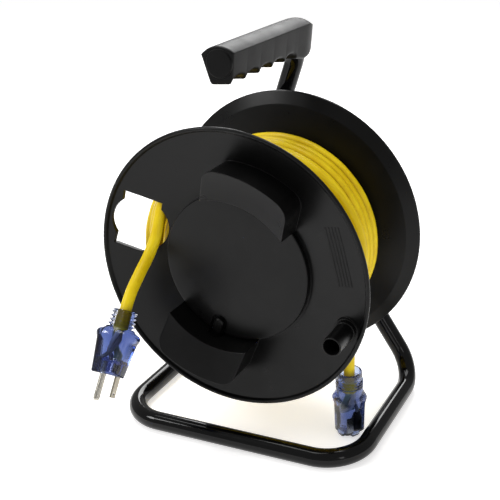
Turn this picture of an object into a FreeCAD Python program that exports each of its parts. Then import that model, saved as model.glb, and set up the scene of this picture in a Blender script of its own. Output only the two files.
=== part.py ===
import FreeCAD, Part
import math
import os

from FreeCAD import Placement, Rotation, Vector

# Hand-wound extension cord reel standing on a bent tube frame.
# Millimetres, +Z up. The origin lies on the floor, straight below the middle of the reel.
# The reel turns about an axle along Y. The crank knob side is -Y (front), the stand legs are at +Y.

# ---- driving dimensions ----
AXLE_Z = 153.0            # height of the reel axle above the floor
GAP = 0.05                # play between parts that sit in one another

TUBE_R = 7.95             # stand tube, 5/8 inch outside
TUBE_WALL = 1.5
LOOP_X = 108.0            # floor loop, half width to the tube centre
LOOP_FRONT_Y = -75.0
LEG_Y = 82.0              # plane of the two rear legs
LOOP_BEND_R = 36.0
LEG_BEND_R = 30.0
TOP_BEND_R = 22.0
JUNCTION_Z = 68.7         # where the short leg meets the long one, above the axle

GRIP_FRONT_Y = -57.0
GRIP_REAR_Y = 98.0
GRIP_FRONT_Z = 163.0      # grip centre line above the axle at its front end
GRIP_DROP = 3.6           # degrees, the rear end is the lower one
GRIP_HALF_W = 15.5
GRIP_TOP = 15.5           # above the centre line
GRIP_BOTTOM = 14.5        # below the centre line
FINGER_COUNT = 5
FINGER_PITCH = 21.0
FINGER_R = 14.0
FINGER_DEPTH = 3.2

FLANGE_R = 117.0
RIM_W = 59.5              # distance of the rim bead from the middle of the reel
RIM_BEAD_R = 1.7
WEB_IN = 45.0             # inner face of the flat flange web
WEB_T = 2.5
DISH_R = 64.0             # beyond this radius the flange is a shallow cone
DISH_SLOPE_OUT = 0.2264
DISH_SLOPE_IN = 0.2
FOLD_R = 106.5            # inside face only: start of the steeper rim band
LIP_R = 112.9             # outside face: foot of the low lip around the rim
CORE_R = 50.0
CORE_WALL = 2.5
POCKET_R = 43.0           # recess around the hub
POCKET_W = 32.0
COIL_R = 85.0
CORD_R = 4.65             # 14/3 cord

AXLE_R = 6.35
BUSH_R = 9.0
HUB_R = 13.5

COVER_R = 62.4
COVER_W = 51.5            # outer face of the hub cover
PAD_ANGLE = 70.5          # degrees from +X to the first raised pad, the other is opposite
PAD_HALF_W = 35.5
PAD_CORNER_R = 13.0
PAD_IN_R = 64.0
PAD_OUT_R = 90.3
PAD_IN_W = 72.5           # height of the pad top at its inner edge
PAD_OUT_W = 82.0
PIN_R = 54.0              # push pin of the hub cover, distance of its stem from the reel axis
PIN_LEN = 6.0
PIN_HALF_W = 4.2
PIN_TOP_W = 54.0
POCKET_HALF_W = 6.8       # oval pocket around the pin
POCKET_FLOOR_W = 49.5
PANEL_ANGLE = 13.0        # block of plain ribs on the front flange
PANEL_R = 87.0
PANEL_ROWS = 5
PANEL_PITCH = 2.9
PANEL_HALF_LEN = 24.0
PANEL_SHIFT = 4.5

WINDOW_ANGLE = 162.0      # cord window in the front flange
WINDOW_R = 89.9
WINDOW_HALF_RADIAL = 15.7
WINDOW_HALF_TANGENT = 24.5
WINDOW_ROUND_R = 23.2     # round bulges past both long ends
WINDOW_ROUND_CENTRE = 88.0

KNOB_ANGLE = -19.1
KNOB_RADIUS = 102.0
KNOB_R = 7.8
KNOB_BORE_R = 6.6
KNOB_START_W = 58.7
KNOB_END_W = 86.5

WINDOW_POINTS = [Vector(-62.0, -38.5, 57.5), Vector(-69.5, -44.0, 38.0), Vector(-70.5, -53.0, 17.0)]
PLUG_PIVOT = Vector(-73.0, -62.0, 4.1)
PLUG_LEAD_BEND = Vector(-73.0, -88.0, -13.0)
PLUG_TOP = Vector(-73.0, -101.0, -27.5)
PLUG_TILT = 38.3          # degrees, the plug points down and forward
PLUG_ROLL = 94.0
PLUG_LEN = 51.5

SOCKET_X = 84.5
SOCKET_Y = -22.0
TRENCH_FRONT = 8.2        # room in the coil for the hanging lead to swing
TRENCH_REAR = 12.8
SOCKET_FACE_Z = -150.5
SOCKET_LEN = 59.5
SOCKET_ROLL = 238.0


# ---- helpers ----
def keep(name, shape):
    """Write one part, raised from axle height to its place above the floor."""
    placed = shape.copy()
    placed.translate(Vector(0, 0, AXLE_Z))
    placed.exportStep("parts/" + name + ".step")


def cyl_y(radius, y0, y1, x=0.0, z=0.0):
    return Part.makeCylinder(radius, y1 - y0, Vector(x, y0, z), Vector(0, 1, 0))


def ring_y(r_out, r_in, y0, y1, x=0.0, z=0.0):
    return cyl_y(r_out, y0, y1, x, z).cut(cyl_y(r_in, y0 - 1, y1 + 1, x, z))


def block(x0, x1, y0, y1, z0, z1):
    return Part.makeBox(x1 - x0, y1 - y0, z1 - z0, Vector(x0, y0, z0))


def turned(points):
    """Revolve a closed outline of (radius, y) points about the Y axis."""
    corners = [Vector(r, y, 0) for r, y in points]
    face = Part.Face(Part.makePolygon(corners + [corners[0]]))
    return face.revolve(Vector(0, 0, 0), Vector(0, 1, 0), 360)


def front(shape):
    """Mirror a part built on the rear side to the front side."""
    return shape.mirror(Vector(0, 0, 0), Vector(0, 1, 0))


def polar(radius, degrees):
    angle = math.radians(degrees)
    return radius * math.cos(angle), radius * math.sin(angle)


def spun(shape, degrees):
    """Turn a copy about the Y axis so that +X moves towards +Z."""
    copy = shape.copy()
    copy.rotate(Vector(0, 0, 0), Vector(0, 1, 0), -degrees)
    return copy


def rounded_path(points, radii):
    """Wire through corner points with a tangent arc at every inner corner."""
    edges = []
    start = points[0]
    for i in range(1, len(points) - 1):
        corner = points[i]
        back = (points[i - 1] - corner).normalize()
        ahead = (points[i + 1] - corner).normalize()
        half = back.getAngle(ahead) / 2
        reach = radii[i - 1] / math.tan(half)
        middle = (back + ahead).normalize()
        tip = corner + middle * (radii[i - 1] / math.sin(half) - radii[i - 1])
        enter = corner + back * reach
        leave = corner + ahead * reach
        edges.append(Part.makeLine(start, enter))
        edges.append(Part.Arc(enter, tip, leave).toShape())
        start = leave
    edges.append(Part.makeLine(start, points[-1]))
    return Part.Wire(edges)


def rod(path, radius):
    """Solid of round section swept along a path."""
    begin = path.Edges[0]
    direction = begin.tangentAt(begin.FirstParameter)
    circle = Part.Wire(Part.makeCircle(radius, begin.valueAt(begin.FirstParameter), direction))
    return path.makePipeShell([circle], True, False)


def rounded_rect(half_x, half_y, corner, z, shift_x=0.0):
    """Closed wire: rectangle with rounded corners at height z."""
    edges = []
    c = corner * (1 - math.sqrt(0.5))
    quarters = ((1, 1), (-1, 1), (-1, -1), (1, -1))
    spots = []
    for sx, sy in quarters:
        flat_x = Vector(shift_x + sx * (half_x - corner), sy * half_y, z)
        flat_y = Vector(shift_x + sx * half_x, sy * (half_y - corner), z)
        mid = Vector(shift_x + sx * (half_x - c), sy * (half_y - c), z)
        spots.append((flat_y, mid, flat_x) if sx * sy > 0 else (flat_x, mid, flat_y))
    for i, (a, m, b) in enumerate(spots):
        edges.append(Part.Arc(a, m, b).toShape())
        edges.append(Part.makeLine(b, spots[(i + 1) % 4][0]))
    return Part.Wire(edges)


def lofted(sections):
    return Part.makeLoft([rounded_rect(*s) for s in sections], True, True)


def merged(shapes):
    whole = shapes[0].fuse(shapes[1:])
    return whole.removeSplitter()


def hexagon(across_flats, y0, y1, x=0.0, z=0.0):
    radius = across_flats / math.sqrt(3)
    corners = [Vector(x + radius * math.cos(math.radians(60 * i)), y0,
                      z + radius * math.sin(math.radians(60 * i))) for i in range(7)]
    return Part.Face(Part.makePolygon(corners)).extrude(Vector(0, y1 - y0, 0))


def edges_where(shape, test):
    return [e for e in shape.Edges if test(e)]


os.makedirs("parts", exist_ok=True)

# ---- stand: one bent tube, short leg coped onto the long one ----
floor_z = TUBE_R - AXLE_Z
grip_slope = math.tan(math.radians(GRIP_DROP))
top_rear_z = GRIP_FRONT_Z - (LEG_Y - GRIP_FRONT_Y) * grip_slope
tube_tip_y = GRIP_FRONT_Y + 14.0
tube_tip = Vector(0, tube_tip_y, GRIP_FRONT_Z - 14.0 * grip_slope)
top_rear = Vector(0, LEG_Y, top_rear_z)
rear_left = Vector(-LOOP_X, LEG_Y, floor_z)
front_left = Vector(-LOOP_X, LOOP_FRONT_Y, floor_z)
front_right = Vector(LOOP_X, LOOP_FRONT_Y, floor_z)
rear_right = Vector(LOOP_X, LEG_Y, floor_z)
junction = rear_left + (top_rear - rear_left) * ((JUNCTION_Z - floor_z) / (top_rear_z - floor_z))
short_end = junction + (rear_right - junction).normalize() * 30.0
corners = [tube_tip, top_rear, rear_left, front_left, front_right, rear_right, short_end]
bends = [TOP_BEND_R, LEG_BEND_R, LOOP_BEND_R, LOOP_BEND_R, LEG_BEND_R]
tube_path = rounded_path(corners, bends)
tube_outside = rod(tube_path, TUBE_R)
tube_inside = rod(tube_path, TUBE_R - TUBE_WALL)

leg_line = Part.makeCylinder(TUBE_R, 60, junction - (top_rear - rear_left).normalize() * 30,
                             top_rear - rear_left)
cope = Part.makeCylinder(TUBE_R, 30, junction, short_end - junction)
cope_hole = Part.makeCylinder(TUBE_R - TUBE_WALL, 30, junction, short_end - junction)
cope = cope.cut(cope_hole).cut(leg_line)
stand_tube = tube_outside.cut(tube_inside).fuse(cope).removeSplitter()
keep("stand_tube", stand_tube)

# ---- bracket plate on the front of both legs, the axle is set flush into it ----
plate_y0 = LEG_Y - TUBE_R - 4.0 - GAP
plate_y1 = plate_y0 + 4.0
plate_outline = [(-72, -22), (22, -26), (34, -8), (24, 24), (-52, 26)]
plate_corners = [Vector(x, plate_y0, z) for x, z in plate_outline]
plate = Part.Face(Part.makePolygon(plate_corners + [plate_corners[0]])).extrude(Vector(0, 4.0, 0))
plate = plate.makeFillet(6.0, edges_where(plate, lambda e: abs(e.Length - 4.0) < 0.01))
plate = plate.cut(cyl_y(AXLE_R + GAP, plate_y0 - 1, plate_y1 + 1))
keep("axle_bracket", plate)

# ---- axle stack: plate, spacer, washer, reel, washer, lock nut ----
pocket_out = POCKET_W + WEB_T
bush_flange_t = 2.0
washer_t = 1.5
nut_t = 8.0
bush_face = pocket_out + bush_flange_t
axle_tip = -(bush_face + washer_t + nut_t + 1.0)
axle = cyl_y(AXLE_R, axle_tip, plate_y1)
axle = axle.makeChamfer(0.8, edges_where(axle, lambda e: e.CenterOfMass.y < axle_tip + 0.1 and e.Length > 30))
keep("axle", axle)
spacer_start = bush_face + washer_t + 0.2
keep("axle_spacer", ring_y(9.5, AXLE_R + GAP, spacer_start, plate_y0 - GAP))
rear_washer = ring_y(12.5, AXLE_R + GAP, bush_face + 0.1, bush_face + 0.1 + washer_t)
front_washer = ring_y(12.5, AXLE_R + GAP, -bush_face - 0.1 - washer_t, -bush_face - 0.1)
keep("axle_washers", Part.makeCompound([rear_washer, front_washer]))
nut_y1 = -bush_face - 0.1 - washer_t - GAP
nut = hexagon(19.0, nut_y1 - nut_t, nut_y1).cut(cyl_y(AXLE_R + GAP, nut_y1 - nut_t - 1, nut_y1 + 1))
keep("axle_lock_nut", nut)

# ---- hand grip with finger scallops, sleeved over the tube end ----
grip_len = GRIP_REAR_Y - GRIP_FRONT_Y
shoulder_z = 4.0
section = [
    Part.makeLine(Vector(-GRIP_HALF_W + 4, 0, -GRIP_BOTTOM), Vector(GRIP_HALF_W - 4, 0, -GRIP_BOTTOM)),
    Part.makeLine(Vector(GRIP_HALF_W - 4, 0, -GRIP_BOTTOM), Vector(GRIP_HALF_W - 1, 0, -GRIP_BOTTOM + 5)),
    Part.makeLine(Vector(GRIP_HALF_W - 1, 0, -GRIP_BOTTOM + 5), Vector(GRIP_HALF_W, 0, shoulder_z)),
    Part.Arc(Vector(GRIP_HALF_W, 0, shoulder_z), Vector(0, 0, GRIP_TOP),
             Vector(-GRIP_HALF_W, 0, shoulder_z)).toShape(),
    Part.makeLine(Vector(-GRIP_HALF_W, 0, shoulder_z), Vector(-GRIP_HALF_W + 1, 0, -GRIP_BOTTOM + 5)),
    Part.makeLine(Vector(-GRIP_HALF_W + 1, 0, -GRIP_BOTTOM + 5), Vector(-GRIP_HALF_W + 4, 0, -GRIP_BOTTOM)),
]
grip = Part.Face(Part.Wire(section)).extrude(Vector(0, grip_len, 0))
for i in range(FINGER_COUNT):
    finger_y = 14.0 + FINGER_PITCH * i
    finger_z = -GRIP_BOTTOM - FINGER_R + FINGER_DEPTH
    grip = grip.cut(Part.makeCylinder(FINGER_R, 60, Vector(-30, finger_y, finger_z), Vector(1, 0, 0)))
rear_round = Part.makeCylinder(60, 60, Vector(-30, grip_len - 60, 0), Vector(1, 0, 0))
grip = grip.common(rear_round.fuse(block(-30, 30, -1, grip_len - 40, -60, 60)))
cap_hole = cyl_y(10.5 + GAP, -1, 6)
grip = grip.cut(cap_hole)
end_cap = cyl_y(10.5, -1.2, 6 - GAP)
end_cap = end_cap.makeFillet(1.0, edges_where(end_cap, lambda e: e.CenterOfMass.y < -1.1 and e.Length > 60))
grip_place = Placement(Vector(0, GRIP_FRONT_Y, GRIP_FRONT_Z), Rotation(Vector(1, 0, 0), -GRIP_DROP))
grip.Placement = grip_place
end_cap.Placement = grip_place
tube_top = rounded_path(corners[:2] + [junction], bends[:1])
grip = grip.cut(rod(tube_top, TUBE_R + GAP))
keep("grip", grip)
keep("grip_end_cap", end_cap)


# ---- flanges ----
def outer_face(r):
    """Distance of the flange's outer face from the middle plane, at radius r."""
    return WEB_IN + WEB_T + max(0.0, r - DISH_R) * DISH_SLOPE_OUT


def inner_face(r):
    return WEB_IN + max(0.0, r - DISH_R) * DISH_SLOPE_IN


def flange_plate():
    """Dished flange on the +Y side: hub recess, flat web, shallow cone, rounded rim."""
    bead_r = FLANGE_R - RIM_BEAD_R
    hub_w = POCKET_W - 10

    def on_bead(degrees):
        x, y = polar(RIM_BEAD_R, degrees)
        return Vector(bead_r + x, RIM_W + y, 0)

    inside = [(BUSH_R + GAP, hub_w), (HUB_R, hub_w), (HUB_R, POCKET_W), (POCKET_R + WEB_T, POCKET_W),
              (POCKET_R + WEB_T, WEB_IN), (DISH_R, WEB_IN), (FOLD_R, inner_face(FOLD_R))]
    outside = [(LIP_R, outer_face(LIP_R)), (DISH_R, outer_face(DISH_R)), (POCKET_R, WEB_IN + WEB_T),
               (POCKET_R, pocket_out), (BUSH_R + GAP, pocket_out)]
    inside = [Vector(r, y, 0) for r, y in inside] + [on_bead(-60)]
    outside = [on_bead(160)] + [Vector(r, y, 0) for r, y in outside] + [inside[0]]
    edges = [Part.makeLine(a, b) for a, b in zip(inside, inside[1:])]
    edges.append(Part.Arc(on_bead(-60), on_bead(50), on_bead(160)).toShape())
    edges += [Part.makeLine(a, b) for a, b in zip(outside, outside[1:])]
    return Part.Face(Part.Wire(edges)).revolve(Vector(0, 0, 0), Vector(0, 1, 0), 360)


tie_spots = [polar(36.0, 45 + 90 * i) for i in range(4)]


def drilled(shape, spots, radius, y0, y1):
    for x, z in spots:
        shape = shape.cut(cyl_y(radius, y0, y1, x, z))
    return shape


def raised_pad(shrink):
    """Hand pad: parallel sides, arc ends, top rising outwards. Shrunk copies hollow it out."""
    slope = (PAD_OUT_W - PAD_IN_W) / (PAD_OUT_R - PAD_IN_R)
    r0 = PAD_IN_R + shrink
    r1 = PAD_OUT_R - shrink
    w0 = PAD_IN_W + slope * shrink - shrink
    w1 = PAD_OUT_W - slope * shrink - shrink
    sink = 0.4 if shrink == 0 else -1.0
    half = PAD_HALF_W - shrink
    body = turned([(r0, inner_face(r0) + sink), (r1, inner_face(r1) + sink), (r1, w1), (r0, w0)])
    body = body.common(block(-half, half, WEB_IN - 5, 100, 20, 120))
    corners = edges_where(body, lambda e: e.CenterOfMass.z > 70 and abs(e.CenterOfMass.x) > half - 0.1
                          and abs(e.tangentAt(e.FirstParameter).y) > 0.99)
    body = body.makeFillet(PAD_CORNER_R - shrink, corners)
    return body


def cord_window():
    """Cutter: rectangle along the radius, joined with a circle that bulges past both ends."""
    inner = WINDOW_R - WINDOW_HALF_RADIAL
    outer = WINDOW_R + WINDOW_HALF_RADIAL
    slot = block(inner, outer, 30, 80, -WINDOW_HALF_TANGENT, WINDOW_HALF_TANGENT)
    bulge = cyl_y(WINDOW_ROUND_R, 30, 80, WINDOW_ROUND_CENTRE)
    bulge = bulge.common(block(50, 120, 30, 80, -WINDOW_HALF_TANGENT + 6, WINDOW_HALF_TANGENT - 6))
    return spun(slot.fuse(bulge), WINDOW_ANGLE)


spigot = ring_y(CORE_R - CORE_WALL - 0.1, POCKET_R + WEB_T - 0.5, WEB_IN - 8, WEB_IN)
rear_flange = merged([flange_plate(), spigot])
rear_flange = drilled(rear_flange, tie_spots, 2.6, 20, 60)
keep("rear_flange", rear_flange)

knob_x, knob_z = polar(KNOB_RADIUS, KNOB_ANGLE)
knob_boss = cyl_y(10.0, inner_face(KNOB_RADIUS) + 1.5, KNOB_START_W - 0.3, knob_x, knob_z)
latch_angle = PAD_ANGLE + 180
latch_x, latch_z = polar(PIN_R, latch_angle)
latch_hole = Part.makeCylinder(POCKET_HALF_W, 3.8, Vector(DISH_R - 2, COVER_W + 2, 0), Vector(1, 0, 0))
latch_hole = latch_hole.common(block(50, 80, WEB_IN + WEB_T + 0.1, 80, -20, 20))
front_flange = flange_plate()
pads = [spun(raised_pad(0.0), PAD_ANGLE - 90 + turn) for turn in (0, 180)]
front_flange = front_flange.fuse(pads + [spigot, knob_boss])
for turn in (0, 180):
    front_flange = front_flange.cut(spun(raised_pad(WEB_T), PAD_ANGLE - 90 + turn))
front_flange = front_flange.cut(cord_window())
front_flange = front_flange.cut(spun(latch_hole, latch_angle))
front_flange = drilled(front_flange, tie_spots, 2.6, 20, 60)
front_flange = front_flange.cut(cyl_y(2.1, 20, 60, latch_x, latch_z))
front_flange = front_flange.cut(cyl_y(4.0 + GAP, 30, 70, knob_x, knob_z))
rib_skin = turned([(80.0, outer_face(80.0) - 1.0), (112.0, outer_face(112.0) - 1.0),
                   (112.0, outer_face(112.0) + 0.35), (80.0, outer_face(80.0) + 0.35)])
rib_panel = []
for i in range(PANEL_ROWS):
    r = PANEL_R + PANEL_PITCH * i
    rib = block(r, r + 0.9, 40, 70, PANEL_SHIFT - PANEL_HALF_LEN, PANEL_SHIFT + PANEL_HALF_LEN)
    rib_panel.append(spun(rib, PANEL_ANGLE).common(rib_skin))
front_flange = front_flange.fuse(rib_panel).removeSplitter()
keep("front_flange", front(front_flange))

# ---- drum core and its tie bolts ----
keep("drum_core", ring_y(CORE_R, CORE_R - CORE_WALL, -WEB_IN + GAP, WEB_IN - GAP))
bolts = []
nuts = []
for x, z in tie_spots:
    shank = cyl_y(2.5, -pocket_out - GAP, pocket_out + 6.0, x, z)
    head = cyl_y(4.6, -pocket_out - 3.6, -pocket_out - GAP, x, z)
    socket = hexagon(4.0, -pocket_out - 4.0, -pocket_out - 1.6, x, z)
    bolts.append(shank.fuse(head).cut(socket))
    tie_nut = hexagon(8.0, pocket_out + GAP, pocket_out + 4.4, x, z)
    nuts.append(tie_nut.cut(cyl_y(2.5 + GAP, pocket_out, pocket_out + 6, x, z)))
keep("tie_bolts", Part.makeCompound(bolts))
keep("tie_nuts", Part.makeCompound(nuts))


# ---- flanged bearing sleeves pressed into both hubs, they run on the axle ----
def bearing():
    sleeve = ring_y(BUSH_R, AXLE_R + GAP, POCKET_W - 10, pocket_out)
    collar = ring_y(12.0, AXLE_R + GAP, pocket_out + GAP, bush_face)
    return sleeve.fuse(ring_y(BUSH_R, AXLE_R + GAP, pocket_out, pocket_out + 2 * GAP)).fuse(collar)


keep("rear_bearing", bearing())
keep("front_bearing", front(bearing()))

# ---- hub cover held by a push pin in an oval pocket that runs on into the lower hand pad ----


def capsule(half_w, length, y0, y1):
    """Straight-sided block with round ends, laid along the radius from the pin stem outwards."""
    near = Vector(PIN_R, y0, 0)
    far = near + Vector(length, 0, 0)
    side = Vector(0, 0, half_w)
    tip = Vector(half_w, 0, 0)
    outline = Part.Wire([
        Part.Arc(near + side, near - tip, near - side).toShape(),
        Part.makeLine(near - side, far - side),
        Part.Arc(far - side, far + tip, far + side).toShape(),
        Part.makeLine(far + side, near + side)])
    return Part.Face(outline).extrude(Vector(0, y1 - y0, 0))


cover_back = WEB_IN + WEB_T + GAP
cover = cyl_y(COVER_R, COVER_W - 2.5, COVER_W)
top_edge = edges_where(cover, lambda e: e.CenterOfMass.y > COVER_W - 0.1 and e.Length > 60)
cover = cover.makeFillet(0.9, top_edge)
cover = cover.fuse(ring_y(COVER_R, COVER_R - 2.5, cover_back, COVER_W - 2.0))
seat = capsule(POCKET_HALF_W + 1.5, 10.0, cover_back, COVER_W - 1.0).common(cyl_y(COVER_R, 40, 60))
pocket = capsule(POCKET_HALF_W, 20.0, POCKET_FLOOR_W, 60.0)
cover = cover.fuse(spun(seat, latch_angle)).cut(spun(pocket, latch_angle))
cover = cover.cut(cyl_y(2.1, 40, 60, latch_x, latch_z)).removeSplitter()
keep("hub_cover", front(cover))
head = capsule(PIN_HALF_W, PIN_LEN, POCKET_FLOOR_W + GAP, PIN_TOP_W)
head = head.makeFillet(1.2, edges_where(head, lambda e: e.CenterOfMass.y > PIN_TOP_W - 0.1))
stem = cyl_y(2.0, WEB_IN + 0.2, POCKET_FLOOR_W + 1.0, PIN_R)
keep("cover_pin", front(spun(head.fuse(stem), latch_angle)))

# ---- crank knob: open sleeve with a stem through the flange boss, held by a push nut ----
knob = ring_y(KNOB_R, KNOB_BORE_R, KNOB_START_W, KNOB_END_W, knob_x, knob_z)
knob = knob.makeFillet(0.5, edges_where(knob, lambda e: e.CenterOfMass.y > KNOB_END_W - 0.1))
knob_base = cyl_y(KNOB_R - 0.2, KNOB_START_W, KNOB_START_W + 5.0, knob_x, knob_z)
collar = cyl_y(KNOB_R + 0.7, KNOB_START_W, KNOB_START_W + 2.5, knob_x, knob_z)
nut_w = inner_face(KNOB_RADIUS - 7.0) - GAP
stem = cyl_y(4.0, nut_w - 2.5, KNOB_START_W + 1.0, knob_x, knob_z)
keep("crank_knob", front(merged([knob, knob_base, collar, stem])))
push_nut = ring_y(7.0, 4.0 + GAP, nut_w - 1.2, nut_w, knob_x, knob_z)
keep("knob_push_nut", front(push_nut))

# ---- wound cord: a closed ring filling the drum, with the places where both ends leave ----
def beside_flange(r):
    return inner_face(r) - 0.5


coil_half = [(CORE_R + GAP, beside_flange(CORE_R)), (DISH_R, beside_flange(DISH_R)),
             (COIL_R - 3, beside_flange(COIL_R - 3)), (COIL_R, beside_flange(COIL_R) - 3)]
coil = turned(coil_half + [(r, -y) for r, y in reversed(coil_half)])
lead_trench = ring_y(COIL_R + 5, SOCKET_X - CORD_R - 0.15, SOCKET_Y - TRENCH_FRONT, SOCKET_Y + TRENCH_REAR)
coil = coil.cut(lead_trench)
window_path = rounded_path(WINDOW_POINTS + [PLUG_PIVOT], [20.0, 20.0, 14.0])
window_cord = rod(window_path, CORD_R)
coil = coil.cut(rod(window_path, CORD_R + GAP))
keep("cord_coil", coil)
# The lead ends short of the pivot in a hollow that holds the round end of the plug cord.
lead_dir = (PLUG_PIVOT - WINDOW_POINTS[-1]).normalize()
seat_cut = Part.makeCylinder(CORD_R + 1, 20, PLUG_PIVOT - lead_dir * 3.6, lead_dir)
ball_seat = Part.makeSphere(CORD_R + GAP, PLUG_PIVOT)
keep("window_cord", window_cord.cut([seat_cut, ball_seat]))

# ---- plug end: cord lead, clear plug body, and the parts cast inside it ----
# Built with the plug face at z = 0, blades pointing down, ground pin towards -X.
RELIEF_R = 11.0
BLADE_X = 5.0
PIN_X = -6.9
JACKET_END = 36.0


def strain_relief(z0, z1, ribs):
    """Round collar with flat grooves around it."""
    core = Part.makeCone(RELIEF_R, RELIEF_R - 1.0, z1 - z0, Vector(0, 0, z0))
    pitch = (z1 - z0) / ribs
    for i in range(ribs):
        z = z0 + pitch * (i + 0.35)
        groove = Part.makeCylinder(20, pitch * 0.4, Vector(0, 0, z))
        groove = groove.cut(Part.makeCylinder(RELIEF_R - 2.2, 20, Vector(0, 0, z - 5)))
        core = core.cut(groove)
    return core


def conductors(z0, z1, radius, spread):
    wires = []
    for x, y in ((-spread, 0), (spread * 0.5, spread * 0.87), (spread * 0.5, -spread * 0.87)):
        wires.append(Part.makeCylinder(radius, z1 - z0, Vector(x, y, z0)))
    return wires


plug_shell = lofted([(12.0, 10.8, 5.0, 0.0), (12.6, 13.0, 5.0, 20.0), (13.2, 15.8, 5.0, 31.0)])
plug_cap = lofted([(13.2, 15.8, 5.0, 31.0), (12.4, 14.6, 5.0, 34.4), (10.5, 11.0, 5.0, 37.0)])
plug_body = merged([plug_shell, plug_cap, strain_relief(36.0, PLUG_LEN, 4)])
bridge = block(-9.5, 8.0, -8.0, 8.0, 2.0, 13.0)
blades = []
for y in (-6.35, 6.35):
    blade = block(BLADE_X - 3.17, BLADE_X + 3.17, y - 0.76, y + 0.76, -16.3, 10.0)
    hole = Part.makeCylinder(1.6, 10, Vector(BLADE_X, y - 5, -12.4), Vector(0, 1, 0))
    blades.append(blade.cut(hole))
pin_tip = Vector(PIN_X, 0, -19.0)
ground_pin = Part.makeCylinder(2.4, 18.7, pin_tip)
pin_root = Part.makeCylinder(2.2, 10.3, Vector(PIN_X, 0, -0.3))
ground_pin = merged([ground_pin, pin_root, Part.makeSphere(2.4, pin_tip)])
plug_wires = conductors(13.0 + GAP, JACKET_END - GAP, 1.6, 2.6)
lamp = Part.makeCylinder(1.5, 6.0, Vector(9.5, 6.5, 17.0))
for part in blades + [ground_pin]:
    bridge = bridge.cut(part)
bridge_room = block(-9.5 - GAP, 8 + GAP, -8 - GAP, 8 + GAP, 2.0 - GAP, 13.0 + GAP)
for inner in [bridge_room] + blades + [ground_pin]:
    plug_body = plug_body.cut(inner)
for wire in conductors(13.0, JACKET_END, 1.6 + GAP, 2.6):
    plug_body = plug_body.cut(wire)
plug_body = plug_body.cut(Part.makeCylinder(1.5 + GAP, 6.0 + 2 * GAP, Vector(9.5, 6.5, 17.0 - GAP)))

plug_axis = Vector(0, -math.sin(math.radians(PLUG_TILT)), -math.cos(math.radians(PLUG_TILT)))
lead_end = PLUG_TOP + plug_axis * (PLUG_LEN - JACKET_END)
bend_line = (PLUG_LEAD_BEND - PLUG_PIVOT).normalize()
lead_knee = PLUG_TOP - plug_axis * 6.0
plug_path = rounded_path([PLUG_PIVOT, PLUG_LEAD_BEND, lead_knee, lead_end], [14.0, 30.0])
keep("plug_cord", rod(plug_path, CORD_R).fuse(Part.makeSphere(CORD_R, PLUG_PIVOT)).removeSplitter())
plug_face = PLUG_TOP + plug_axis * PLUG_LEN
plug_turn = Rotation(Vector(1, 0, 0), -PLUG_TILT).multiply(Rotation(Vector(0, 0, 1), PLUG_ROLL))
plug_place = Placement(plug_face, plug_turn)
last_run = Part.makeCylinder(CORD_R + GAP, 40, lead_end, plug_axis * -1)


def keep_placed(name, shape, place):
    shape.Placement = place
    keep(name, shape)


plug_body.Placement = plug_place
keep("plug_body", plug_body.cut(last_run))
keep_placed("plug_bridge", bridge, plug_place)
keep_placed("plug_blades", Part.makeCompound(blades), plug_place)
keep_placed("plug_ground_pin", ground_pin, plug_place)
keep_placed("plug_wires", Part.makeCompound(plug_wires), plug_place)
keep_placed("plug_lamp", lamp, plug_place)

# ---- connector end: same build with a black socket core ----
# Built with the socket face at z = 0 and the cord leaving upwards.
insert_r = 7.0            # black core that carries the contacts, set off towards the ground hole
insert_x = -2.7
relief_z = 43.0
jacket_z = 42.0
socket_body = lofted([(11.0, 10.0, 4.5, 0.0), (11.4, 10.4, 4.5, 24.0), (12.4, 11.4, 4.0, 36.0)])
socket_cap = lofted([(12.4, 11.4, 4.0, 36.0), (11.8, 10.9, 4.0, 41.0), (10.5, 10.0, 4.0, 44.0)])
socket_body = merged([socket_body, socket_cap, strain_relief(relief_z, SOCKET_LEN, 4)])
core = Part.makeCylinder(insert_r, 20.0, Vector(insert_x, 0, 3.0))
openings = []
contacts = []
for y in (-6.35, 6.35):
    openings.append(block(BLADE_X - 3.6, BLADE_X + 3.6, y - 1.3, y + 1.3, -1.0, 20.0))
    contacts.append(block(BLADE_X - 3.0, BLADE_X + 3.0, y + 0.7, y + 1.25, 4.0, 19.0))
openings.append(Part.makeCylinder(2.6, 22.0, Vector(PIN_X, 0, -1.0)))
contacts.append(Part.makeCylinder(2.3, 0.6, Vector(PIN_X, 0, 21.0 + GAP)))
socket_wires = conductors(23.0 + GAP, jacket_z - GAP, 1.6, 2.6)
socket_lamp = Part.makeCylinder(1.5, 6.0, Vector(7.4, -6.4, 26.0))
core_room = Part.makeCylinder(insert_r + GAP, 20.0 + 2 * GAP, Vector(insert_x, 0, 3.0 - GAP))
socket_body = socket_body.cut(core_room)
for wire in conductors(23.0, jacket_z, 1.6 + GAP, 2.6):
    socket_body = socket_body.cut(wire)
socket_body = socket_body.cut(Part.makeCylinder(1.5 + GAP, 6.0 + 2 * GAP, Vector(7.4, -6.4, 26.0 - GAP)))
socket_body = socket_body.cut(Part.makeCylinder(CORD_R + GAP, 40, Vector(0, 0, jacket_z)))
for opening in openings:
    socket_body = socket_body.cut(opening)
    core = core.cut(opening)
core = core.cut(Part.makeCylinder(2.3 + GAP, 0.7, Vector(PIN_X, 0, 21.0)))
socket_place = Placement(Vector(SOCKET_X, SOCKET_Y, SOCKET_FACE_Z), Rotation(Vector(0, 0, 1), SOCKET_ROLL))
keep_placed("socket_body", socket_body, socket_place)
keep_placed("socket_core", core, socket_place)
keep_placed("socket_contacts", Part.makeCompound(contacts), socket_place)
keep_placed("socket_wires", Part.makeCompound(socket_wires), socket_place)
keep_placed("socket_lamp", socket_lamp, socket_place)
jacket_cut = SOCKET_FACE_Z + jacket_z
keep("socket_cord", Part.makeCylinder(CORD_R, -jacket_cut, Vector(SOCKET_X, SOCKET_Y, jacket_cut)))
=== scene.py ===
import math

import bpy
from mathutils import Matrix, Vector, noise


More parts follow.
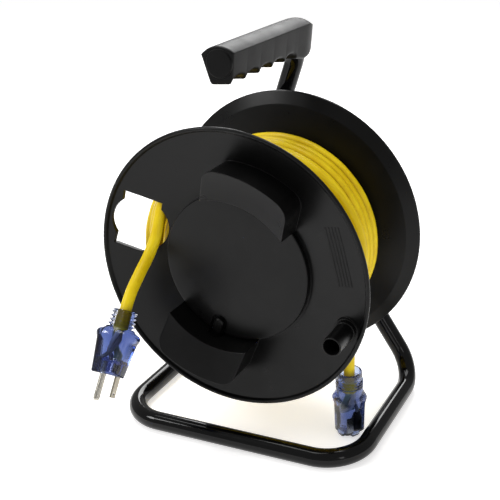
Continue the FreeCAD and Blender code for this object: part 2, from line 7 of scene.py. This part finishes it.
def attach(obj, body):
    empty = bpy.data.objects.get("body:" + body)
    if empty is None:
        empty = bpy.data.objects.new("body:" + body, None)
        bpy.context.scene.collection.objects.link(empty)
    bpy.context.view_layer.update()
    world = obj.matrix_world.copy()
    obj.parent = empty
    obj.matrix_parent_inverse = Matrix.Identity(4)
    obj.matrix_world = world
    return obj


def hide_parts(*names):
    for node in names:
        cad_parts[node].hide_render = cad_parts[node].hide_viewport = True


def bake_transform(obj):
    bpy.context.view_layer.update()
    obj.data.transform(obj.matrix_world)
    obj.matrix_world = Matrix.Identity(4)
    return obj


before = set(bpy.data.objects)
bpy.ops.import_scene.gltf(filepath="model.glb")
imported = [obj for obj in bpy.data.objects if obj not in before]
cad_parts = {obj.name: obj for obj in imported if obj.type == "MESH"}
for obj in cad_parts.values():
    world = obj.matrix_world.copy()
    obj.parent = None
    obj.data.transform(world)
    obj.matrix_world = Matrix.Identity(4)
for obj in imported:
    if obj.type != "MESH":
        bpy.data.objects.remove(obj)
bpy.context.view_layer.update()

MM = 0.001
AXLE = Vector((0.0, 0.0, 0.153))


# ---------------------------------------------------------------- materials
class Nodes:
    """Short hand for building one node material."""

    def __init__(self, name):
        self.mat = bpy.data.materials.new(name)
        self.mat.use_nodes = True
        self.tree = self.mat.node_tree
        self.tree.nodes.clear()
        self.out = self.add("ShaderNodeOutputMaterial")
        self.surface = self.add("ShaderNodeBsdfPrincipled")
        self.link(self.surface.outputs["BSDF"], self.out.inputs["Surface"])
        self.coords = self.add("ShaderNodeTexCoord").outputs["Object"]

    def add(self, kind, **values):
        node = self.tree.nodes.new(kind)
        for key, value in values.items():
            setattr(node, key, value)
        return node

    def link(self, a, b):
        self.tree.links.new(a, b)

    def noise(self, scale, detail=4.0, rough=0.55, stretch=None):
        node = self.add("ShaderNodeTexNoise")
        node.inputs["Scale"].default_value = scale
        node.inputs["Detail"].default_value = detail
        node.inputs["Roughness"].default_value = rough
        source = self.coords
        if stretch:
            mapping = self.add("ShaderNodeMapping")
            mapping.inputs["Scale"].default_value = stretch
            self.link(self.coords, mapping.inputs["Vector"])
            source = mapping.outputs["Vector"]
        self.link(source, node.inputs["Vector"])
        return node.outputs["Fac"]

    def ramp(self, value, low, high, a, b):
        """Map value from low..high to a..b."""
        node = self.add("ShaderNodeMapRange")
        node.inputs["From Min"].default_value = low
        node.inputs["From Max"].default_value = high
        node.inputs["To Min"].default_value = a
        node.inputs["To Max"].default_value = b
        self.link(value, node.inputs["Value"])
        return node.outputs["Result"]

    def mix(self, value, first, second):
        node = self.add("ShaderNodeMix", data_type="RGBA")
        node.inputs[6].default_value = (*first, 1.0)
        node.inputs[7].default_value = (*second, 1.0)
        self.link(value, node.inputs["Factor"])
        return node.outputs[2]

    def bump(self, value, strength, distance, under=None):
        node = self.add("ShaderNodeBump")
        node.inputs["Strength"].default_value = strength
        node.inputs["Distance"].default_value = distance
        self.link(value, node.inputs["Height"])
        if under:
            self.link(under, node.inputs["Normal"])
        return node.outputs["Normal"]

    def edge(self, radius):
        """Rounded-edge normal, and a value that is 1 near sharp edges and 0 on open faces."""
        bevel = self.add("ShaderNodeBevel", samples=6)
        bevel.inputs["Radius"].default_value = radius
        geometry = self.add("ShaderNodeNewGeometry")
        dot = self.add("ShaderNodeVectorMath", operation="DOT_PRODUCT")
        self.link(bevel.outputs["Normal"], dot.inputs[0])
        self.link(geometry.outputs["Normal"], dot.inputs[1])
        return bevel.outputs["Normal"], self.ramp(dot.outputs["Value"], 0.995, 0.85, 0.0, 1.0)

    def set(self, **values):
        for key, value in values.items():
            socket = self.surface.inputs[key.replace("_", " ")]
            if isinstance(value, bpy.types.NodeSocket):
                self.link(value, socket)
            else:
                socket.default_value = value


def moulded_plastic(name, dark, light, rough, grain, ior=1.45):
    """Satin moulded plastic: soft mottling, fine grain, scuffed edges."""
    n = Nodes(name)
    mottle = n.noise(18.0)
    rounded, edge = n.edge(0.0009)
    base = n.mix(n.ramp(mottle, 0.35, 0.7, 0.0, 1.0), dark, light)
    worn = n.add("ShaderNodeMix", data_type="RGBA")
    n.link(base, worn.inputs[6])
    worn.inputs[7].default_value = (*[min(1.0, c * 2.0 + 0.02) for c in light], 1.0)
    scuff = n.add("ShaderNodeMath", operation="MULTIPLY")
    n.link(edge, scuff.inputs[0])
    n.link(n.ramp(n.noise(160.0), 0.45, 0.7, 0.0, 0.5), scuff.inputs[1])
    n.link(scuff.outputs[0], worn.inputs["Factor"])
    fine = n.bump(n.noise(2600.0, 2.0), grain, 0.0001, rounded)
    soft = n.bump(n.noise(26.0, 2.0), 0.05, 0.0006, fine)
    n.set(Base_Color=worn.outputs[2], Roughness=n.ramp(n.noise(60.0), 0.3, 0.7, rough - 0.04, rough + 0.05),
          IOR=ior, Normal=soft)
    return n.mat


def enamel(name):
    """Glossy black enamel with orange peel and a few dull patches."""
    n = Nodes(name)
    base = n.mix(n.noise(40.0), (0.0015, 0.0015, 0.0015), (0.003, 0.003, 0.0031))
    peel = n.bump(n.noise(420.0, 2.0), 0.12, 0.0002)
    n.set(Base_Color=base, Roughness=n.ramp(n.noise(30.0), 0.35, 0.7, 0.08, 0.16), Normal=peel,
          IOR=1.27, Coat_Weight=0.12, Coat_Roughness=0.04)
    return n.mat


def plated_steel(name, tint, rough, relief=0.1):
    n = Nodes(name)
    streak = n.noise(300.0, 3.0, 0.6, (1.0, 1.0, 0.08))
    base = n.mix(n.ramp(streak, 0.3, 0.7, 0.0, 1.0), tuple(c * 0.72 for c in tint), tint)
    n.set(Base_Color=base, Metallic=1.0, Roughness=n.ramp(streak, 0.3, 0.7, rough - 0.06, rough + 0.1),
          Normal=n.bump(streak, relief, 0.0002))
    return n.mat


def cord_jacket(name):
    """Yellow vinyl jacket: faint mottling, slight soiling, and painted shade in the grooves between turns."""
    n = Nodes(name)
    patches = n.noise(55.0, 3.0)
    clean = n.mix(n.ramp(patches, 0.35, 0.7, 0.0, 1.0), (0.80, 0.555, 0.004), (0.92, 0.70, 0.010))
    # Painted shade: ambient occlusion darkens the jacket towards brown in the grooves between turns.
    groove_occlusion = n.add("ShaderNodeAmbientOcclusion", samples=6)
    groove_occlusion.inputs["Distance"].default_value = 0.007
    shade_and_soiling = n.add("ShaderNodeMath", operation="ADD")
    n.link(n.ramp(groove_occlusion.outputs["AO"], 0.25, 0.8, 0.85, 0.0), shade_and_soiling.inputs[0])
    n.link(n.ramp(n.noise(150.0, 6.0, 0.7), 0.58, 0.85, 0.0, 0.3), shade_and_soiling.inputs[1])
    shade_and_soiling.use_clamp = True
    # One brown serves both the painted groove shade and the patchy soiling from the noise.
    soiled_and_shaded = n.add("ShaderNodeMix", data_type="RGBA")
    n.link(clean, soiled_and_shaded.inputs[6])
    soiled_and_shaded.inputs[7].default_value = (0.30, 0.15, 0.001, 1.0)
    n.link(shade_and_soiling.outputs[0], soiled_and_shaded.inputs["Factor"])
    skin = n.bump(n.noise(900.0, 3.0), 0.1, 0.0002)
    n.set(Base_Color=soiled_and_shaded.outputs[2], Roughness=n.ramp(patches, 0.3, 0.7, 0.32, 0.45), IOR=1.32, Normal=skin)
    return n.mat


def clear_vinyl(name):
    """Translucent blue moulding: colour grows with thickness, slightly hazy, with flow marks."""
    n = Nodes(name)
    flow = n.noise(120.0, 3.0, 0.5, (1.0, 1.0, 0.35))
    tint = n.mix(n.ramp(flow, 0.3, 0.7, 0.0, 1.0), (0.64, 0.73, 0.93), (0.80, 0.87, 0.98))
    n.set(Base_Color=tint, Roughness=n.ramp(flow, 0.3, 0.7, 0.08, 0.2), IOR=1.30,
          Transmission_Weight=1.0, Coat_Weight=0.5, Coat_Roughness=0.08, Normal=n.bump(flow, 0.2, 0.0004))
    body = n.add("ShaderNodeVolumeAbsorption")
    body.inputs["Color"].default_value = (0.11, 0.22, 0.54, 1.0)
    n.link(n.ramp(n.noise(70.0, 2.0), 0.3, 0.7, 85.0, 125.0), body.inputs["Density"])
    n.link(body.outputs["Volume"], n.out.inputs["Volume"])
    return n.mat


BLACK = moulded_plastic("black_moulding", (0.0022, 0.0022, 0.0022), (0.0036, 0.0035, 0.0035), 0.31, 0.07,
                        1.28)
GRIP = moulded_plastic("grip_moulding", (0.004, 0.004, 0.004), (0.008, 0.008, 0.008), 0.4, 0.2, 1.18)
NYLON = moulded_plastic("nylon_moulding", (0.55, 0.53, 0.47), (0.72, 0.70, 0.64), 0.4, 0.08)
INSERT = moulded_plastic("insert_moulding", (0.55, 0.56, 0.60), (0.78, 0.78, 0.80), 0.4, 0.08)
LENS = moulded_plastic("lamp_lens", (0.62, 0.22, 0.10), (0.80, 0.34, 0.18), 0.2, 0.05)
WIRE_WHITE = moulded_plastic("white_wire", (0.62, 0.62, 0.60), (0.80, 0.80, 0.78), 0.35, 0.05)
WIRE_GREY = moulded_plastic("grey_wire", (0.16, 0.17, 0.20), (0.26, 0.27, 0.30), 0.35, 0.05)
WIRE_GREEN = moulded_plastic("green_wire", (0.24, 0.40, 0.26), (0.34, 0.52, 0.36), 0.35, 0.05)
ENAMEL = enamel("black_enamel")
ZINC = plated_steel("zinc_plate", (0.62, 0.62, 0.60), 0.32)
BLADE = plated_steel("nickel_brass", (0.60, 0.57, 0.50), 0.2, 0.01)
CORD = cord_jacket("cord_jacket")
VINYL = clear_vinyl("clear_vinyl")

CAD_FINISH = {
    "stand_tube": ENAMEL, "axle_bracket": ENAMEL, "axle": ZINC, "axle_spacer": ZINC, "axle_washers": ZINC,
    "axle_lock_nut": ZINC, "grip": GRIP, "grip_end_cap": GRIP, "front_flange": BLACK, "rear_flange": BLACK,
    "drum_core": BLACK, "hub_cover": BLACK, "cover_pin": BLACK, "front_bearing": NYLON, "rear_bearing": NYLON,
    "tie_bolts": ZINC, "tie_nuts": ZINC, "crank_knob": BLACK, "knob_push_nut": ZINC, "plug_bridge": VINYL,
    "plug_blades": BLADE, "plug_ground_pin": BLADE, "socket_core": BLACK, "socket_contacts": BLADE,
    "cord_coil": CORD, "window_cord": CORD, "plug_cord": CORD, "socket_cord": CORD, "plug_body": VINYL,
    "socket_body": VINYL, "plug_wires": INSERT, "socket_wires": INSERT, "plug_lamp": LENS,
    "socket_lamp": LENS,
}
for node, material in CAD_FINISH.items():
    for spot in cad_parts[node].material_slots:
        spot.material = material


# ---------------------------------------------------------------- mesh helpers
def at(x, y, z):
    """Point given in millimetres from the middle of the reel."""
    return AXLE + Vector((x, y, z)) * MM


def add_piece(name, verts, faces, material, sharp_angle=40.0):
    mesh = bpy.data.meshes.new(name)
    mesh.from_pydata(verts, [], faces)
    mesh.validate()
    mesh.materials.append(material)
    mesh.shade_smooth()
    mesh.set_sharp_from_angle(angle=math.radians(sharp_angle))
    piece = bpy.data.objects.new(name, mesh)
    bpy.context.collection.objects.link(piece)
    return piece


def skin(rings):
    """Quads between rings of points, with both ends capped."""
    count = len(rings[0])
    verts = [point for ring in rings for point in ring]
    faces = []
    for i in range(len(rings) - 1):
        a = i * count
        b = (i + 1) * count
        for j in range(count):
            k = (j + 1) % count
            faces.append((a + j, a + k, b + k, b + j))
    faces.append(tuple(reversed(range(count))))
    faces.append(tuple(range(len(verts) - count, len(verts))))
    return verts, faces


def smooth_line(points, passes=2):
    for _ in range(passes):
        inner = [(a + b * 2 + c) / 4 for a, b, c in zip(points, points[1:], points[2:])]
        points = [points[0]] + inner + [points[-1]]
    return points


def evenly(points, step):
    """Same line, cut into equal steps."""
    result = [points[0]]
    left = step
    for a, b in zip(points, points[1:]):
        span = (b - a).length
        done = 0.0
        while span - done >= left:
            done += left
            result.append(a.lerp(b, done / span))
            left = step
        left -= span - done
    if (result[-1] - points[-1]).length > step * 0.3:
        result.append(points[-1])
    return result


def tube(points, radius_at, sides):
    """Round-ended tube along a line; radius_at(distance, angle) lets the section be other than round."""
    rings = []
    walked = 0.0
    normal = None
    first_way = (points[1] - points[0]).normalized()
    last_way = (points[-1] - points[-2]).normalized()
    for i, point in enumerate(points):
        tangent = (points[min(i + 1, len(points) - 1)] - points[max(i - 1, 0)]).normalized()
        if i:
            walked += (point - points[i - 1]).length
        if normal is None:
            normal = tangent.orthogonal().normalized()
        normal = (normal - tangent * normal.dot(tangent)).normalized()
        side = tangent.cross(normal)
        ring = []
        for j in range(sides):
            angle = 2 * math.pi * j / sides
            radius = radius_at(walked, angle)
            ring.append(point + (normal * math.cos(angle) + side * math.sin(angle)) * radius)
        rings.append(ring)
    rings = dome(rings[0], points[0], -first_way)[::-1] + rings + dome(rings[-1], points[-1], last_way)
    return skin(rings)


def dome(ring, centre, direction):
    radius = (ring[0] - centre).length
    return [[centre + (p - centre) * math.cos(a) + direction * radius * math.sin(a) for p in ring]
            for a in (0.45, 0.9, 1.3)]


# ---------------------------------------------------------------- the cord
CORD_R = 4.65 * MM
LAY = 0.085            # length in which the three cores twist round once
SLACK_TURNS = 33.4     # turns before the last ones, which are wound a little unevenly
COIL_TURNS = 35.37
LEAD_TURNS = (35.31, 35.381)   # the free lead starts inside the last turn
COIL_SIDES = 12
LEAD_SIDES = 20
LEAD_STEP = 0.002


def cord_radius(walked, angle):
    """The jacket follows the three twisted cores very slightly."""
    lobes = math.cos(3 * (angle - 2 * math.pi * walked / LAY))
    return CORD_R * (1 + 0.014 * lobes)


# (turns wound, distance from the middle plane, radius of the cord centre)
WINDING = [
    (0.0, -39.6, 54.8), (8.5, 39.6, 54.8), (8.8, 39.6, 63.3), (17.3, -39.6, 63.3), (17.6, -41.0, 72.4),
    (26.1, 41.0, 72.4), (26.4, 43.0, 82.6), (31.4, -4.0, 83.2), (31.8, -20.0, 82.0), (33.1, -40.0, 82.0),
    (33.4, -40.0, 83.0), (33.6, -30.0, 85.5), (33.85, -10.0, 89.0), (34.04, -1.0, 89.0), (34.10, -3.0, 88.8),
    (34.22, -14.0, 89.0), (34.33, -28.0, 88.6), (34.40, -31.0, 88.4), (34.46, -34.0, 88.4),
    (34.52, -37.5, 87.8), (34.65, -41.0, 86.0), (35.2, -42.5, 85.2), (35.33, -41.0, 85.0),
    (35.381, -38.5, 84.6)]


def wound(turns):
    """Centre of the wound cord after a number of turns."""
    i = 0
    while turns > WINDING[i + 1][0] and i < len(WINDING) - 2:
        i += 1
    t0, y0, r0 = WINDING[i]
    t1, y1, r1 = WINDING[i + 1]
    share = (turns - t0) / (t1 - t0)
    slack = 1.0 if turns < SLACK_TURNS else 0.0
    sway = noise.noise(Vector((turns * 1.7, 3.1, 0.0))) * 2.0 * slack
    lift = noise.noise(Vector((turns * 2.3, 9.4, 0.0))) * 1.6 * slack
    y = y0 + (y1 - y0) * share + sway
    r = r0 + (r1 - r0) * share + lift
    side_room = 40.2 + max(0.0, r - 64.0) * 0.2
    y = max(-side_room, min(side_room, y))
    angle = 2 * math.pi * turns
    return at(r * math.cos(angle), y, r * math.sin(angle))


def wound_line(start, end):
    count = int((end - start) * 72) + 2
    return [wound(start + (end - start) * i / (count - 1)) for i in range(count)]


def bent_line(corners, radii):
    """Line through corner points with an arc at every inner corner."""
    line = [corners[0]]
    for before, corner, after, radius in zip(corners, corners[1:], corners[2:], radii):
        back = (before - corner).normalized()
        ahead = (after - corner).normalized()
        half = back.angle(ahead) / 2
        enter = corner + back * (radius * MM / math.tan(half))
        leave = corner + ahead * (radius * MM / math.tan(half))
        for i in range(9):
            t = i / 8
            line.append(enter * (1 - t) ** 2 + corner * 2 * t * (1 - t) + leave * t ** 2)
    line.append(corners[-1])
    return line


def make_cords():
    coil_line = smooth_line(wound_line(0.0, COIL_TURNS), 3)
    coil = add_piece("cord_windings", *tube(coil_line, cord_radius, COIL_SIDES), CORD, 70)
    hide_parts("cord_coil")
    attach(coil, "reel")

    corners = [at(-62, -38.5, 57.5), at(-69.5, -44, 38), at(-70.5, -53, 17), at(-73, -62, 4.1),
               at(-73, -88, -13), PLUG_TOP - PLUG_AXIS * 6 * MM, PLUG_TOP + PLUG_AXIS * 15.5 * MM]
    bends = [20, 20, 14, 14, 30]
    lead = wound_line(*LEAD_TURNS)[:-1] + bent_line(corners, bends)
    lead = smooth_line(evenly(lead, LEAD_STEP), 6)
    plug_lead = add_piece("plug_lead_cord", *tube(lead, cord_radius, LEAD_SIDES), CORD, 70)
    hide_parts("window_cord", "plug_cord")
    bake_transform(plug_lead)

    drop = [at(SOCKET_X, SOCKET_Y, 0), at(SOCKET_X, SOCKET_Y, SOCKET_FACE + SOCKET_JACKET)]
    drop = evenly(drop, LEAD_STEP)
    socket_lead = add_piece("socket_lead_cord", *tube(drop, cord_radius, LEAD_SIDES), CORD, 70)
    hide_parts("socket_cord")
    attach(socket_lead, "socket_end")


# ---------------------------------------------------------------- moulded ends
PLUG_TILT = math.radians(38.3)
PLUG_AXIS = Vector((0.0, -math.sin(PLUG_TILT), -math.cos(PLUG_TILT)))
PLUG_ROLL = math.radians(94.0)
PLUG_LENGTH = 51.5
PLUG_TOP = at(-73, -101, -27.5)
PLUG_FACE = PLUG_TOP + PLUG_AXIS * PLUG_LENGTH * MM
PLUG_PLACE = (Matrix.Translation(PLUG_FACE) @ Matrix.Rotation(-PLUG_TILT, 4, "X")
              @ Matrix.Rotation(PLUG_ROLL, 4, "Z"))
SOCKET_X = 84.5
SOCKET_Y = -22
SOCKET_FACE = -150.5
SOCKET_JACKET = 42     # the jacket ends this far above the face
SOCKET_ROLL = math.radians(238.0)
SOCKET_PLACE = Matrix.Translation(at(SOCKET_X, SOCKET_Y, SOCKET_FACE)) @ Matrix.Rotation(SOCKET_ROLL, 4, "Z")
WIRE_R = 1.65
WIRE_LAY = 34.0
TOOTH_PITCH = 3.2
TOOTH_DEPTH = 0.27     # share of the radius
RING_PITCH = 2.7
RING_HEIGHT = 0.08     # share of the radius


def blend_table(table, z):
    """Linear look-up in rows of (z, value, value, ...)."""
    if z <= table[0][0]:
        return table[0][1:]
    for low_row, high_row in zip(table, table[1:]):
        if z <= high_row[0]:
            share = (z - low_row[0]) / (high_row[0] - low_row[0])
            return tuple(a + (b - a) * share for a, b in zip(low_row[1:], high_row[1:]))
    return table[-1][1:]


def rounded_box_point(half_x, half_y, power, angle):
    """Point on a superellipse."""
    c = math.cos(angle)
    s = math.sin(angle)
    x = half_x * math.copysign(abs(c) ** (2 / power), c)
    y = half_y * math.copysign(abs(s) ** (2 / power), s)
    return (x, y)


def moulded(name, place, profile, heights, body, node, material, tooth=None, cup=(), around=72):
    """Skin over superellipse sections; profile rows are (z, half x, half y, power).

    cup rows are (z, radius) of a round hollow that goes back down inside the last section.
    """
    rings = []
    for z in heights:
        half_x, half_y, power = blend_table(profile, z)
        ring = []
        for j in range(around):
            angle = 2 * math.pi * j / around
            x, y = rounded_box_point(half_x, half_y, power, angle)
            shrink = 1.0 - (tooth(z, angle) if tooth else 0.0)
            ring.append(place @ (Vector((x * shrink, y * shrink, z)) * MM))
        rings.append(ring)
    for z, radius in cup:
        angles = [2 * math.pi * j / around for j in range(around)]
        rings.append([place @ (Vector((radius * math.cos(a), radius * math.sin(a), z)) * MM) for a in angles])
    piece = add_piece(name, *skin(rings), material, 35)
    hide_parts(node)
    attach(piece, body)


def steps(low, high, size):
    count = max(1, round((high - low) / size))
    return [low + (high - low) * i / count for i in range(count + 1)]


def twisted_wires(name, place, low, high, body, node):
    """Three coloured conductors twisted round each other, with their ends spread to the contacts."""
    verts = []
    faces = []
    owners = []
    for k in range(3):
        line = []
        for z in steps(low, high, 1.0):
            turn = 2 * math.pi * (k / 3 + (z - low) / WIRE_LAY)
            spread = 2.1 + 3.4 * max(0.0, 1.0 - (z - low) / 9.0) ** 2
            line.append(place @ (Vector((spread * math.cos(turn), spread * math.sin(turn), z)) * MM))
        more_verts, more_faces = tube(line, lambda walked, angle: WIRE_R * MM, 10)
        faces += [tuple(i + len(verts) for i in face) for face in more_faces]
        owners += [k] * len(more_faces)
        verts += more_verts
    piece = add_piece(name, verts, faces, WIRE_WHITE, 60)
    piece.data.materials.append(WIRE_GREY)
    piece.data.materials.append(WIRE_GREEN)
    for polygon, owner in zip(piece.data.polygons, owners):
        polygon.material_index = owner
    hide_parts(node)
    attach(piece, body)


def plug_tooth(z, angle):
    """Saw teeth on both narrow sides of the strain relief."""
    if z < 38.0 or z > 50.8:
        return 0.0
    phase = ((z - 38.0) / TOOTH_PITCH) % 1.0
    depth = phase / 0.7 if phase < 0.7 else (1.0 - phase) / 0.3
    side = max(0.0, min(1.0, (abs(math.sin(angle)) - 0.25) / 0.2))
    return TOOTH_DEPTH * (1 - depth) * side


def socket_ring(z, angle):
    """Three round ridges around the lower collar; a negative depth stands proud."""
    if z < 44.0 or z > 52.1:
        return 0.0
    phase = ((z - 44.0) / RING_PITCH) % 1.0
    return -RING_HEIGHT if 0.3 < phase < 0.8 else 0.0


def make_ends():
    plug_profile = [
        (0.0, 11.4, 10.2, 4.0), (0.8, 12.0, 10.8, 4.0), (8.0, 12.2, 11.6, 4.0), (20.0, 12.6, 13.2, 3.8),
        (26.5, 12.8, 14.2, 3.6), (28.5, 13.0, 15.4, 3.2), (30.5, 13.2, 16.6, 2.9), (32.5, 13.0, 16.8, 2.8),
        (34.0, 12.4, 15.8, 2.7), (35.2, 11.6, 13.4, 2.5), (36.4, 10.8, 11.4, 2.3), (38.0, 10.4, 10.8, 2.2),
        (50.5, 9.8, 10.2, 2.2), (51.5, 9.0, 9.4, 2.2)]
    heights = [0.0, 0.4, 0.8] + steps(2.0, 26.0, 2.0) + steps(26.5, 38.0, 0.5)
    heights += steps(38.2, 51.0, 0.2) + [51.5]
    moulded("plug_moulding", PLUG_PLACE, plug_profile, heights, "plug_end", "plug_body", VINYL, plug_tooth)
    twisted_wires("plug_conductors", PLUG_PLACE, 13.2, 36.2, "plug_end", "plug_wires")

    socket_profile = [
        (2.6, 10.4, 9.4, 4.0), (3.2, 11.0, 10.0, 4.0), (24.0, 11.4, 10.4, 4.0), (29.0, 11.8, 10.9, 3.8),
        (33.0, 12.8, 12.0, 3.6), (35.0, 13.2, 12.4, 3.4), (36.5, 12.8, 12.0, 3.2), (38.5, 12.0, 11.2, 2.8),
        (41.5, 11.2, 10.8, 2.3), (44.0, 10.9, 10.7, 2.0), (58.5, 10.7, 10.7, 2.0), (59.5, 10.2, 10.2, 2.0)]
    heights = [2.6, 3.2] + steps(4.5, 30.0, 1.5) + steps(30.5, 43.5, 0.5)
    heights += steps(44.0, 58.0, 0.2) + [58.5, 59.5]
    cup = [(59.5, 9.4), (58.8, 8.8), (55.0, 8.3), (51.5, 7.6), (50.6, 6.4), (50.4, 4.9)]
    moulded("socket_moulding", SOCKET_PLACE, socket_profile, heights, "socket_end", "socket_body", VINYL,
            socket_ring, cup)
    twisted_wires("socket_conductors", SOCKET_PLACE, 23.2, 42.2, "socket_end", "socket_wires")

    foot_profile = [(0.0, 3.6, 1.9, 4.0), (0.6, 4.2, 2.3, 4.0), (3.4, 4.4, 2.5, 4.0)]
    for i, (x, y) in enumerate(((0.0, -7.3), (0.0, 7.3), (8.2, 0.0), (-8.2, 0.0))):
        turn = Matrix.Rotation(math.radians(90.0 if x else 0.0), 4, "Z")
        place = SOCKET_PLACE @ Matrix.Translation(Vector((x, y, 0.0)) * MM) @ turn
        moulded("socket_foot_%d" % (i + 1), place, foot_profile, [0.0, 0.3, 0.6, 1.5, 2.5, 3.4], "socket_end",
                "socket_body", VINYL, around=32)

    core_profile = [(3.4, 4.6, 4.6, 2.0), (4.0, 5.1, 5.1, 2.0), (15.0, 5.0, 4.8, 2.0), (20.0, 3.2, 3.0, 2.2)]
    core_place = SOCKET_PLACE @ Matrix.Translation(Vector((-3.4, 2.8, 0.0)) * MM)
    moulded("socket_insert", core_place, core_profile, [3.4, 4.0] + steps(6.0, 21.0, 1.5), "socket_end",
            "socket_core", BLACK, around=40)
    openings = [("blade_slot_1", 5.0, 6.35, 3.6, 1.3, 5.0), ("blade_slot_2", 5.0, -6.35, 3.6, 1.3, 5.0),
                ("ground_hole", -6.9, 0.0, 2.6, 2.6, 2.0)]
    for name, x, y, half_x, half_y, power in openings:
        place = SOCKET_PLACE @ Matrix.Translation(Vector((x, y, 0.0)) * MM)
        mouth = [(2.5, half_x, half_y, power), (3.1, half_x * 0.9, half_y * 0.9, power)]
        moulded(name, place, mouth, [2.5, 3.1], "socket_end", "socket_core", BLACK, around=32)


# ---------------------------------------------------------------- hand grip
GRIP_LENGTH = 151.0
GRIP_TWIST = math.radians(-5.0)
GRIP_DROP = math.radians(-1.0)
FINGER_START = 11.5    # middle of the first finger groove
FINGER_PITCH = 22.0
FINGER_HALF = 10.4     # half length of a groove
FINGER_DEPTH = 4.6
LAST_FINGER = 4.5
TAIL_START = 126.0     # the rear end closes from here
PALM_START = 104.0     # the underside deepens from here


def grip_section(half, top, bottom, depth):
    """Loaf-shaped outline: low arched top with a crease at each side, tapering sides, flat underside.

    The sides taper as if the underside were at depth; the underside itself may be cut higher.
    """
    crease = top - 5.4
    foot = half + (half * 0.56 - half) * (crease - bottom) / (crease - depth)
    outline = []
    for i in range(17):
        across = 1.0 - i / 8
        outline.append((half * across, crease + 5.4 * (1.0 - across * across)))
    side = []
    for i in range(1, 10):
        down = i / 9
        side.append((half + (foot + 1.6 - half) * down, crease + (bottom + 2.6 - crease) * down))
    for i in range(1, 6):
        t = i / 5
        side.append(((foot + 1.6) * (1 - t) ** 2 + (foot + 1.2) * 2 * t * (1 - t) + (foot - 1.4) * t * t,
                     (bottom + 2.6) * (1 - t) ** 2 + bottom * 2 * t * (1 - t) + bottom * t * t))
    outline += [(-x, z) for x, z in side]
    outline += [(foot * (i - 2) / 3, bottom) for i in range(5)]
    outline += side[::-1]
    return outline


def make_grip():
    place = (Matrix.Translation(at(-1.0, -57, 163)) @ Matrix.Rotation(GRIP_DROP, 4, "X")
             @ Matrix.Rotation(GRIP_TWIST, 4, "Y"))
    rings = []
    for y in [0.0, 0.3, 0.8, 1.6] + steps(2.5, 136.0, 0.9) + steps(136.5, GRIP_LENGTH - 0.1, 0.6):
        tail = max(0.0, (y - TAIL_START) / (GRIP_LENGTH - TAIL_START))
        squeeze = math.sqrt(max(0.0, 1.0 - tail ** 2.2))
        chamfer = 0.9 * max(0.0, 1.0 - y / 1.6) ** 2
        swell = 1.3 * min(1.0, y / 120.0)
        half = (13.4 + swell - chamfer) * squeeze
        top = 1.0 + (12.2 + swell - chamfer - 1.0) * squeeze
        finger = (y - FINGER_START) / FINGER_PITCH
        from_groove = abs(finger - round(finger)) * FINGER_PITCH
        groove = FINGER_DEPTH * math.sqrt(max(0.0, 1.0 - (from_groove / FINGER_HALF) ** 2))
        groove = groove if finger < LAST_FINGER else 0.0
        palm = 3.6 * max(0.0, min(1.0, (y - PALM_START) / 20.0))
        depth = 1.0 + (-16.4 - palm + chamfer) * squeeze
        bottom = depth + groove * squeeze
        rings.append([place @ (Vector((x, y, z)) * MM) for x, z in grip_section(half, top, bottom, depth)])
    grip = add_piece("grip_moulding", *skin(rings), GRIP, 30)
    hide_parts("grip")
    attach(grip, "stand")


make_cords()
make_ends()
make_grip()


# ---------------------------------------------------------------- floor, light, camera
def studio():
    """Light table: a pale floor that glows softly, so that shadows stay faint, under large soft lamps."""
    floor_mesh = bpy.data.meshes.new("floor")
    half = 14.0
    floor_mesh.from_pydata([(-half, -half, 0), (half, -half, 0), (half, half, 0), (-half, half, 0)], [],
                           [(0, 1, 2, 3)])
    floor = bpy.data.objects.new("floor", floor_mesh)
    bpy.context.collection.objects.link(floor)
    n = Nodes("pale_floor")
    n.set(Base_Color=n.mix(n.noise(3.0), (0.84, 0.84, 0.84), (0.87, 0.87, 0.87)), Roughness=0.6,
          Emission_Color=(1.0, 0.99, 0.985, 1.0), Emission_Strength=0.62)
    floor_mesh.materials.append(n.mat)

    world = bpy.data.worlds.new("studio")
    world.use_nodes = True
    world.node_tree.nodes["Background"].inputs["Color"].default_value = (1.0, 1.0, 1.0, 1.0)
    world.node_tree.nodes["Background"].inputs["Strength"].default_value = 0.38
    bpy.context.scene.world = world

    def softbox(name, place, aim, width, height, power):
        lamp = bpy.data.lights.new(name, "AREA")
        lamp.shape = "RECTANGLE"
        lamp.size = width
        lamp.size_y = height
        lamp.energy = power
        holder = bpy.data.objects.new(name, lamp)
        holder.location = place
        holder.rotation_euler = (Vector(aim) - Vector(place)).to_track_quat("-Z", "Y").to_euler()
        bpy.context.collection.objects.link(holder)

    softbox("overhead", (-0.3, 0.2, 1.5), (0, 0, 0.15), 1.0, 0.8, 12.0)
    softbox("back_light", (-0.46, 1.25, 0.98), (0, 0, 0.3), 0.8, 0.45, 11.0)
    softbox("key_left", (-1.3, -1.1, 1.4), (0, 0, 0.15), 0.5, 0.5, 12.0)
    softbox("fill_right", (1.5, -1.2, 0.7), (0, 0, 0.15), 0.3, 0.6, 1.6)


def studio_camera():
    """Camera 21 degrees round from the front and 26 degrees down, slightly off centre."""
    azimuth = math.radians(21.33)
    elevation = math.radians(25.64)
    distance = 0.8061
    sideways = 0.0806
    downwards = 0.0386
    back = Vector((math.sin(azimuth) * math.cos(elevation), -math.cos(azimuth) * math.cos(elevation),
                   math.sin(elevation)))
    right = Vector((math.cos(azimuth), math.sin(azimuth), 0.0))
    up = back.cross(right)
    place = AXLE + back * distance + right * sideways - up * downwards
    data = bpy.data.cameras.new("studio_camera")
    data.sensor_width = 36.0
    data.lens = 69.4
    data.shift_x = -0.2224
    data.shift_y = 0.083
    holder = bpy.data.objects.new("studio_camera", data)
    holder.matrix_world = Matrix.Translation(place) @ Matrix((right, up, back)).transposed().to_4x4()
    bpy.context.collection.objects.link(holder)
    bpy.context.scene.camera = holder


studio()
studio_camera()
bpy.context.scene.view_settings.view_transform = "Standard"
